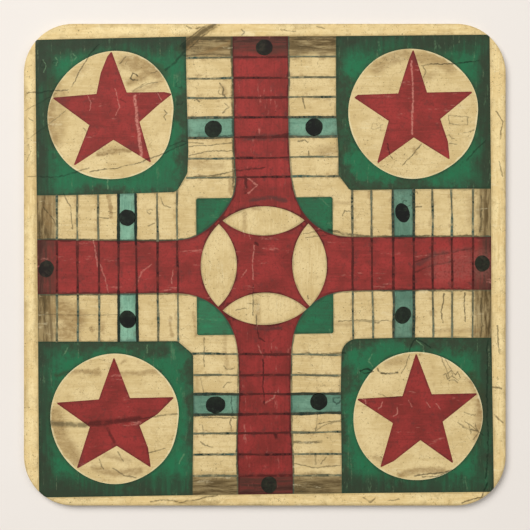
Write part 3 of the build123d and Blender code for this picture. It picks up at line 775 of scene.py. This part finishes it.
class WornInk(Paint):
    """Aged paint as it is printed. Each method lays one kind of wear over self.colour."""

    def __init__(self, name, ink, loops, grain, seed, bright):
        super().__init__(name)
        self.look, self.loops, self.grain, self.seed, self.bright = INKS[ink], loops, grain, seed, bright
        self.rim, self.edge = self.kept("rim"), self.kept("edge")
        self.outline_at = self.edge if ink == "disc" else self.rim
        self.waver = self.swing(self.noise(0.5, 3.0, seed + 1.3), 0.28)

    def tone(self, title):
        return shade(*(self.bright * level for level in self.look[title]))

    def cover(self, colour, share):
        """Lays one of the ink's tones, or a colour of its own, over what is there."""
        over = self.tone(colour) if isinstance(colour, str) else shade(*colour)
        self.colour = self.mix(self.colour, over, share)

    def strands(self, along, across, detail, shift):
        """Noise drawn out along the grain. The border's grain follows its strips."""
        level = self.noise((along, across), detail, shift, 0.62) if self.grain != "y" else None
        upright = self.noise((across, along), detail, shift, 0.62) if self.grain != "x" else None
        if level is None or upright is None:
            return level or upright
        out_x, out_y = (self.math("ABSOLUTE", self.axis(letter)) for letter in "XY")
        blend = self.add("ShaderNodeMix", data_type="FLOAT")
        share = self.ramp(self.math("SUBTRACT", out_x, out_y), -0.5, 0.5)
        for value, socket in ((share, 0), (level, 2), (upright, 3)):
            self.join(value, blend.inputs[socket])
        return blend.outputs[0]

    def brushwork(self):
        """Broad brush marks in three tones, strands and hairs along the grain, clouds and fine mottling."""
        self.brush = self.noise(0.15, 4.0, self.seed, 0.62)
        self.colour = self.mix(self.tone("dark"), self.tone("light"), self.ramp(self.brush, 0.3, 0.7))
        self.cover("base", 0.35)
        self.strand = self.strands(0.07, 1.0, 3.0, self.seed + 3.1)
        self.cover("dark", self.ramp(self.strand, 0.5, 0.74, 0.0, self.look["mottle"]))
        hair = self.strands(0.22, 3.0, 3.0, self.seed + 7.7)
        self.cover("light", self.ramp(hair, 0.53, 0.7, 0.0, self.look["mottle"]))
        self.cloud = self.noise(0.7, 4.0, self.seed + 5.3, 0.66)
        self.cover("smudge", self.ramp(self.cloud, 0.53, 0.78, 0.0, self.look["cloud"]))
        self.fine = self.noise(2.1, 3.0, self.seed + 8.3, 0.7)
        self.cover("dark", self.ramp(self.fine, 0.48, 0.72, 0.0, 0.5))

    def panel_frame(self):
        """The uneven dark frame of a green panel, with fresher paint near its disc and pale scrapes."""
        broad = self.swing(self.noise(0.1, 2.0, self.seed), 1.8)
        close = self.swing(self.noise(0.5, 4.0, self.seed + 2.0, 0.7), 0.9)
        ragged = self.math("ADD", self.math("ADD", self.edge, broad), close)
        glow = self.times(self.ramp(self.rim, 6.0, 0.2), self.ramp(self.edge, 1.0, 3.0),
                          self.ramp(self.strand, 0.3, 0.6, 1.0, 0.6))
        self.cover(PANEL_GLOW, self.times(glow, 0.6))
        deep = self.times(self.ramp(ragged, 3.2, 0.2), self.ramp(self.cloud, 0.3, 0.6, 0.7, 1.0))
        self.cover(PANEL_FRAME, self.times(deep, 0.85))
        out = self.math("MAXIMUM", *(self.math("ABSOLUTE", self.axis(letter)) for letter in "XY"))
        dusk = self.times(self.ramp(self.math("ADD", out, close), *PANEL_EDGE),
                          self.ramp(self.strand, 0.3, 0.6, 0.6, 1.0))
        self.cover(PANEL_DUSK, self.times(dusk, 0.8))
        scrape = self.times(self.ramp(self.noise((1.7, 0.1), 3.0, self.seed + 9.0, 0.7), 0.62, 0.72),
                            self.ramp(ragged, 3.6, 1.6), self.ramp(self.fine, 0.4, 0.6))
        self.cover(PANEL_SCRAPE, self.times(scrape, 0.5))

    def dirt(self):
        """Dirt along the field's own outline and along the ruled lines."""
        beside = self.ramp(self.math("ADD", self.rim, self.waver), 1.5, 0.0)
        self.cover("smudge", self.times(beside, self.ramp(self.brush, 0.35, 0.65), self.look["dirt"]))
        ruled = self.ramp(self.math("ADD", self.kept("ruled"), self.waver), 0.7, 0.1)
        self.cover("smudge", self.times(ruled, self.ramp(self.cloud, 0.4, 0.65), 0.4))

    def end_cells(self):
        """The brown stain and dark wood streaks of the outermost cells."""
        x, y = (self.math("ABSOLUTE", self.axis(letter)) for letter in "XY")
        shift = self.swing(self.noise(0.25, 3.0, self.seed + 4.0), 0.4)
        late = self.times(self.ramp(self.axis("X"), 0.0, 1.0), self.ramp(self.axis("Y"), -1.0, 1.0), END_LATE)
        for out, frequency in ((self.math("ADD", x, late), (1.2, 0.13)), (y, (0.13, 1.2))):
            wood = self.noise(frequency, 4.0, self.seed + 6.0, 0.7)
            stain = self.ramp(self.math("ADD", out, shift), *END_STAIN)
            self.cover("end", self.times(stain, self.ramp(wood, 0.34, 0.6, 0.62, 1.0),
                                         self.ramp(out, *END_DEEPER, 0.72, 1.0)))
            streaks = self.times(self.ramp(out, *END_STREAKS), self.ramp(wood, 0.5, 0.66), 0.6)
            self.cover("crack", streaks)

    def south_end(self):
        """Darker end cells at the bottom, most of all at the right."""
        share = self.ramp(self.axis("X"), -2.0, 2.0, 0.16, 0.3)
        self.cover("crack", self.times(self.ramp(self.axis("Y"), *SOUTH_END), share))

    def smudges(self):
        near = strokes_near(SMUDGES, self.loops)
        if near:
            smudges = self.strokes(self.warped(0.9, 0.6, self.seed + 11), near)
            patchy = self.ramp(self.noise((0.6, 1.3), 4.0, 21, 0.7), 0.3, 0.62, 0.55, 1.0)
            self.cover("smudge", self.times(smudges, patchy))

    def specks(self):
        where = self.ramp(self.noise(0.12, 2.0, self.seed + 17), 0.4, 0.62)
        specks = self.ramp(self.noise(2.3, 2.0, self.seed + 13), 0.68, 0.74)
        self.cover("crack", self.times(specks, where, self.look["specks"]))

    def outline(self):
        """A wavering painted edge of uneven strength. On the border it also darkens the card's cut edge, as
        painted shade of the rounded rim.
        """
        width, strength = self.look["width"], self.look["strength"]
        away = self.math("ADD", self.outline_at, self.math("MULTIPLY", self.waver, 0.5))
        uneven = self.ramp(self.noise(0.11, 2.0, self.seed + 2.2), 0.3, 0.6, 0.4, 1.0)
        self.cover("outline", self.times(self.ramp(away, width, width * 0.35), uneven, strength))

    def side_line(self):
        """The thin dark line drawn round the cross."""
        away = self.math("ADD", self.kept("cross"), self.math("MULTIPLY", self.waver, 0.25))
        uneven = self.ramp(self.noise(0.09, 3.0, 33.0), 0.38, 0.6, 0.35, 0.95)
        self.cover(SIDE_LINE, self.times(self.ramp(away, 0.42, 0.18), uneven))

    def cracks_and_scratches(self):
        """The listed marks, over a net of hairlines and some grazes."""
        place = self.warped(0.5, 0.4, 30)
        cell_place = self.vector("MULTIPLY", self.warped(3.0, 0.8, self.seed + 40), (0.085, 0.06, 0.0))
        cells = self.add("ShaderNodeTexVoronoi", cell_place,
                         feature="DISTANCE_TO_EDGE", voronoi_dimensions="2D")
        hairline = self.times(self.ramp(cells.outputs[0], 0.01, 0.003),
                              self.ramp(self.noise(0.1, 2.0, self.seed + 50), 0.46, 0.58, 0.0, 0.6))
        cracks = self.strokes(place, strokes_near(CRACKS, self.loops, CRACK_SOFTNESS), hairline)
        broken = self.ramp(self.noise(0.8, 3.0, 60), 0.3, 0.5, 0.45, 1.0)
        self.cover("crack", self.times(cracks, broken))

        frequency = (0.5, 0.12) if self.grain == "y" else (0.12, 0.5)
        graze = self.noise(frequency, 4.0, self.seed + 70, 0.75)
        graze = self.ramp(graze, 0.62, 0.73, 0.0, self.look["graze"])
        scratches = self.strokes(place, strokes_near(SCRATCHES, self.loops, SCRATCH_SOFTNESS), graze)
        chipped = self.ramp(self.noise(2.2, 3.0, 80), 0.32, 0.55, 0.25, 1.0)
        self.cover("scratch", self.times(scratches, chipped))


def worn_ink(name, ink, loops, seed, grain="x", bright=1.0, framed=False, ends=False, sides=False):
    """The material of a colour field."""
    paint = WornInk(name, ink, loops, grain, seed, bright)
    paint.brushwork()
    if framed:
        paint.panel_frame()
    paint.dirt()
    if ends:
        paint.end_cells()
        if ink == "cream":
            paint.south_end()
    paint.smudges()
    paint.specks()
    paint.outline()
    if sides:
        paint.side_line()
    paint.cracks_and_scratches()
    rough = paint.ramp(paint.noise(0.9, 3.0, seed + 95), 0.25, 0.75, 0.5, 0.62)
    return paint.finish(paint.colour, rough, paint.noise(3.0, 3.0, 90, 0.6))


def overprint(name, dark, pale, worn, seed, over_red, firmness):
    """Thin dark ink over the colours, worn through in places.

    over_red says how red it looks on the cross, and firmness how little it wears beside the marked cells."""
    paint = Paint(name)
    on_arm = paint.math("MULTIPLY", paint.kept("arm"), over_red)
    patches = paint.ramp(paint.noise(0.6, 4.0, seed, 0.68), 0.5, 0.72, 0.0, 0.7)
    thin = paint.ramp(paint.kept("rim"), 0.1, 0.0, 0.0, 0.35)
    firm = paint.ramp(paint.kept("marked"), 1.2, 0.6, 0.0, firmness)
    fade = paint.times(paint.math("ADD", patches, thin, clamp=True), paint.math("SUBTRACT", 1.0, firm))
    tone = paint.mix(shade(*dark), shade(*pale), paint.ramp(paint.noise(0.14, 3.0, seed + 4), 0.36, 0.66))
    tone = paint.mix(tone, shade(*dark), paint.ramp(paint.noise(1.8, 3.0, seed + 6), 0.4, 0.7, 0.0, 0.7))
    tone = paint.mix(tone, shade(*LINE_FIRM), firm)
    tone = paint.mix(tone, shade(*LINE_ON_RED), on_arm)
    colour = paint.mix(tone, paint.mix(shade(*worn), shade(*WORN_ON_RED), on_arm), fade)
    rough = paint.ramp(paint.noise(1.2, 3.0, seed + 8), 0.25, 0.75, 0.48, 0.62)
    return paint.finish(colour, rough, paint.noise(3.0, 3.0, 90, 0.6))


def paper(name, base, fleck, flecks, stretch, lift):
    """Uncoated paper or pulp, with fibres, flecks and a soft mottle that go through to the cut edge."""
    paint = Paint(name, flat=False)
    cloud = paint.noise(0.35, 4.0, 3.0, 0.6)
    darker = shade(*(level * 0.93 for level in base))
    lighter = shade(*(min(255, level * 1.03) for level in base))
    colour = paint.mix(darker, lighter, paint.ramp(cloud, 0.3, 0.7))
    fibres = paint.noise(stretch, 5.0, 7.0, 0.7)
    colour = paint.mix(colour, darker, paint.ramp(fibres, 0.5, 0.7, 0.0, 0.6))
    spots = paint.ramp(paint.noise(2.6, 2.0, 13.0, 0.5), 0.7, 0.76, 0.0, flecks)
    colour = paint.mix(colour, shade(*fleck), spots)
    strands = paint.ramp(paint.noise((3.2, 0.7), 2.0, 29.0, 0.5), 0.7, 0.74, 0.0, flecks * 0.8)
    colour = paint.mix(colour, shade(*fleck), strands)
    rough = paint.ramp(fibres, 0.2, 0.8, 0.78, 0.95)
    return paint.finish(colour, rough, paint.math("ADD", fibres, cloud), lift)


# -------- the pieces

SWAY = 0.13            # how far a ruled line wanders
BESIDE = 0.8           # lines this near to the marked cells are three times as much thicker


def place_piece(piece, node, material):
    piece.data.materials.append(material)
    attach(piece, "root")
    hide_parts(node)
    return piece


def sheet(node, material, rows, rough, seed):
    """A sheet of the card, whose cut edge has rows of points that stand out by up to about rough."""
    low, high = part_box(node)
    loops = [divided(max(top_loops(node), key=len), FINE)]
    piece = closed_piece("sheet_" + node, loops, low.z / MM, high.z / MM, SHEET_MESH, seed, rows, rough)
    return place_piece(piece, node, material)


def keep_distance(piece, title, tree):
    """Stores each point's distance to an outline in the mesh."""
    points = np.array([v.co[:2] for v in piece.data.vertices]) / MM
    values = np.minimum(clearance(points, tree), FAR).astype(np.float32)
    piece.data.attributes.new(title, "FLOAT", "POINT").data.foreach_set("value", values)


def arms_tree(kind):
    """A search tree of the outlines of four like nodes, one for each arm."""
    return outline_tree([loop for arm in ARMS for loop in top_loops(kind + arm)])


RULED_TREE = arms_tree("grid_lines_")
CROSS_TREE = arms_tree("cross_arm_")
MARKED_TREE = arms_tree("marked_cells_")


def field(node, ink, slot, seed, **how):
    """A colour field of the print."""
    low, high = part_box(node)
    loops = [divided(loop, FINE) for loop in top_loops(node)]
    piece = closed_piece("print_" + node, loops, low.z / MM, high.z / MM, MESH, seed)
    keep_distance(piece, "ruled", RULED_TREE)
    keep_distance(piece, "cross", CROSS_TREE)
    return place_piece(piece, node, worn_ink("ink_" + node, ink, loops, seed * 1.7, **how))


def sway(x, y):
    """How far a ruled line has wandered at a place."""
    spot = Vector((x * 0.16, y * 0.16, 4.0))
    return (SWAY * noise.noise(spot), SWAY * noise.noise(spot + Vector((7.3, 1.1, 0.0))))


def swell(amount, extra, seed):
    """How much thicker a line or dot is at a place: more beside the marked cells if extra is given."""

    def by(x, y):
        slow = noise.noise(Vector((x * 0.2, y * 0.2, seed)))
        quick = noise.noise(Vector((x * 1.1, y * 1.1, seed + 5)))
        beside = extra and MARKED_TREE.find((x, y, 0.0))[2] < BESIDE
        return extra * (3.0 if beside else 1.0) + amount * (slow + 0.6 * quick)

    return by


def overprinted(node, material, amount, extra, seed, arm):
    """Ruled lines or dots that lie on the colours."""
    low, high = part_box(node)
    loops = [grown(divided(loop, LINE_FINE), swell(amount, extra, seed)) for loop in top_loops(node)]
    piece = closed_piece("print_" + node, loops, low.z / MM, high.z / MM, LINE_MESH, seed, move=sway)
    corners = np.array([v.co[:2] for v in piece.data.vertices]) / MM
    keep_distance(piece, "marked", MARKED_TREE)
    on_arm = inside(corners, top_loops("cross_arm_" + arm))
    attribute = piece.data.attributes.new("arm", "FLOAT", "POINT")
    attribute.data.foreach_set("value", on_arm.astype(np.float32))
    return place_piece(piece, node, material)


sheet("back_paper",
      paper("uncoated_back", (229, 222, 207), (150, 132, 104), 0.5, (0.9, 2.2), 0.02), 1, 0.02, 1)
sheet("board_core",
      paper("pulp_core", (224, 214, 194), (160, 140, 108), 0.6, (1.2, 2.4), 0.05), 7, 0.07, 2)
sheet("face_paper",
      paper("face_stock", (241, 236, 224), (190, 176, 150), 0.25, (1.0, 2.0), 0.01), 1, 0.015, 3)

# how bright the paint of each quarter or arm is, and how firm its lines are beside the marked cells
STAR_BRIGHT = {"nw": 1.0, "ne": 1.0, "se": 0.96, "sw": 0.96}
CORNER_BRIGHT = {"nw": 1.0, "ne": 1.0, "se": 1.0, "sw": 1.12}
ARM_BRIGHT = {"north": 0.99, "east": 0.99, "south": 0.94, "west": 0.99}
MARKED_BRIGHT = {"north": 1.0, "east": 0.9, "south": 0.96, "west": 1.13}
FIRMNESS = {"north": 0.45, "east": 0.7, "south": 0.8, "west": 0.95}

field("border_strip", "border", "border_cream", 4, grain="frame", bright=1.02)
field("centre_star", "red", "red", 5, bright=0.96)
for number, q in enumerate(QUARTERS):
    field("corner_panel_" + q, "green", "green", 10 + number, grain="y", framed=True)
    field("disc_" + q, "disc", "cream", 20 + number)
    field("star_" + q, "star", "red", 30 + number, bright=STAR_BRIGHT[q])
    field("centre_corner_" + q, "green", "green", 40 + number, sides=True, bright=CORNER_BRIGHT[q])
    field("track_" + q, "cream", "cream", 50 + number, ends=True, sides=True)
for number, arm in enumerate(ARMS):
    along, across = ("y", "x") if arm in ("north", "south") else ("x", "y")
    field("cross_arm_" + arm, "red", "red", 60 + number, grain=along, ends=True, bright=ARM_BRIGHT[arm])
    field("petal_" + arm, "cream", "cream", 70 + number, grain="y")
    field("marked_cells_" + arm, "teal", "blue_green", 80 + number, grain=across, sides=True,
          bright=MARKED_BRIGHT[arm])
    firm = FIRMNESS[arm]
    lines = overprint("ruled_" + arm, (48, 60, 52), (86, 108, 96), (160, 150, 114), 90.0 + number, 1.0, firm)
    overprinted("grid_lines_" + arm, lines, 0.1, 0.03 * firm + 0.005, 94 + number, arm)
    dots = overprint("spots_" + arm, (34, 41, 34), (48, 56, 47), (56, 66, 56), 98.0 + number, 0.15, 0.0)
    overprinted("dots_" + arm, dots, 0.16, 0.0, 102 + number, arm)


# -------- floor, light and camera

def floor():
    size = 3.0
    corners = [(-size, -size, 0), (size, -size, 0), (size, size, 0), (-size, size, 0)]
    mesh = bpy.data.meshes.new("table_top")
    mesh.from_pydata(corners, [], [(0, 1, 2, 3)])
    table = bpy.data.objects.new("table_top", mesh)
    table.location.z = cad_low.z
    bpy.context.scene.collection.objects.link(table)
    paint = Paint("pale_table", flat=False)
    tone = paint.mix(shade(243, 237, 231), shade(246, 241, 236), paint.noise(0.05, 3.0, 5.0))
    mesh.materials.append(paint.finish(tone, 0.8))


def area_light(name, position, size, power, colour):
    """A round lamp, in metres and watts, that faces the card."""
    lamp = bpy.data.lights.new(name, "AREA")
    lamp.shape = "DISK"
    lamp.size = size
    lamp.energy = power
    lamp.color = colour
    light = bpy.data.objects.new(name, lamp)
    light.location = position
    light.rotation_euler = (-Vector(position)).to_track_quat("-Z", "Y").to_euler()
    bpy.context.scene.collection.objects.link(light)


def surroundings(colour, strength):
    world = bpy.data.worlds.new("studio")
    bpy.context.scene.world = world
    world.use_nodes = True
    background = world.node_tree.nodes["Background"]
    background.inputs["Color"].default_value = (*colour, 1.0)
    background.inputs["Strength"].default_value = strength


def camera():
    """Straight above the card's middle. Lengths are metres, but lens and sensor are millimetres."""
    lens, sensor, view_width = 100.0, 36.0, 0.1117
    aside, below = 0.00004, -0.00007
    data = bpy.data.cameras.new("camera")
    data.lens, data.sensor_width = lens, sensor
    data.clip_start, data.clip_end = 0.01, 10.0
    eye = bpy.data.objects.new("camera", data)
    eye.location = (aside, below, cad_high.z + view_width * lens / sensor)
    bpy.context.scene.collection.objects.link(eye)
    bpy.context.scene.camera = eye


floor()
area_light("key", (-0.57, 0.64, 0.95), 1.0, 16.0, (1.0, 0.985, 0.96))
area_light("fill", (1.0, 0.1, 1.3), 1.2, 4.9, (1.0, 0.98, 0.96))
surroundings((1.0, 0.985, 0.965), 0.31)
bpy.context.scene.view_settings.view_transform = "Standard"
camera()
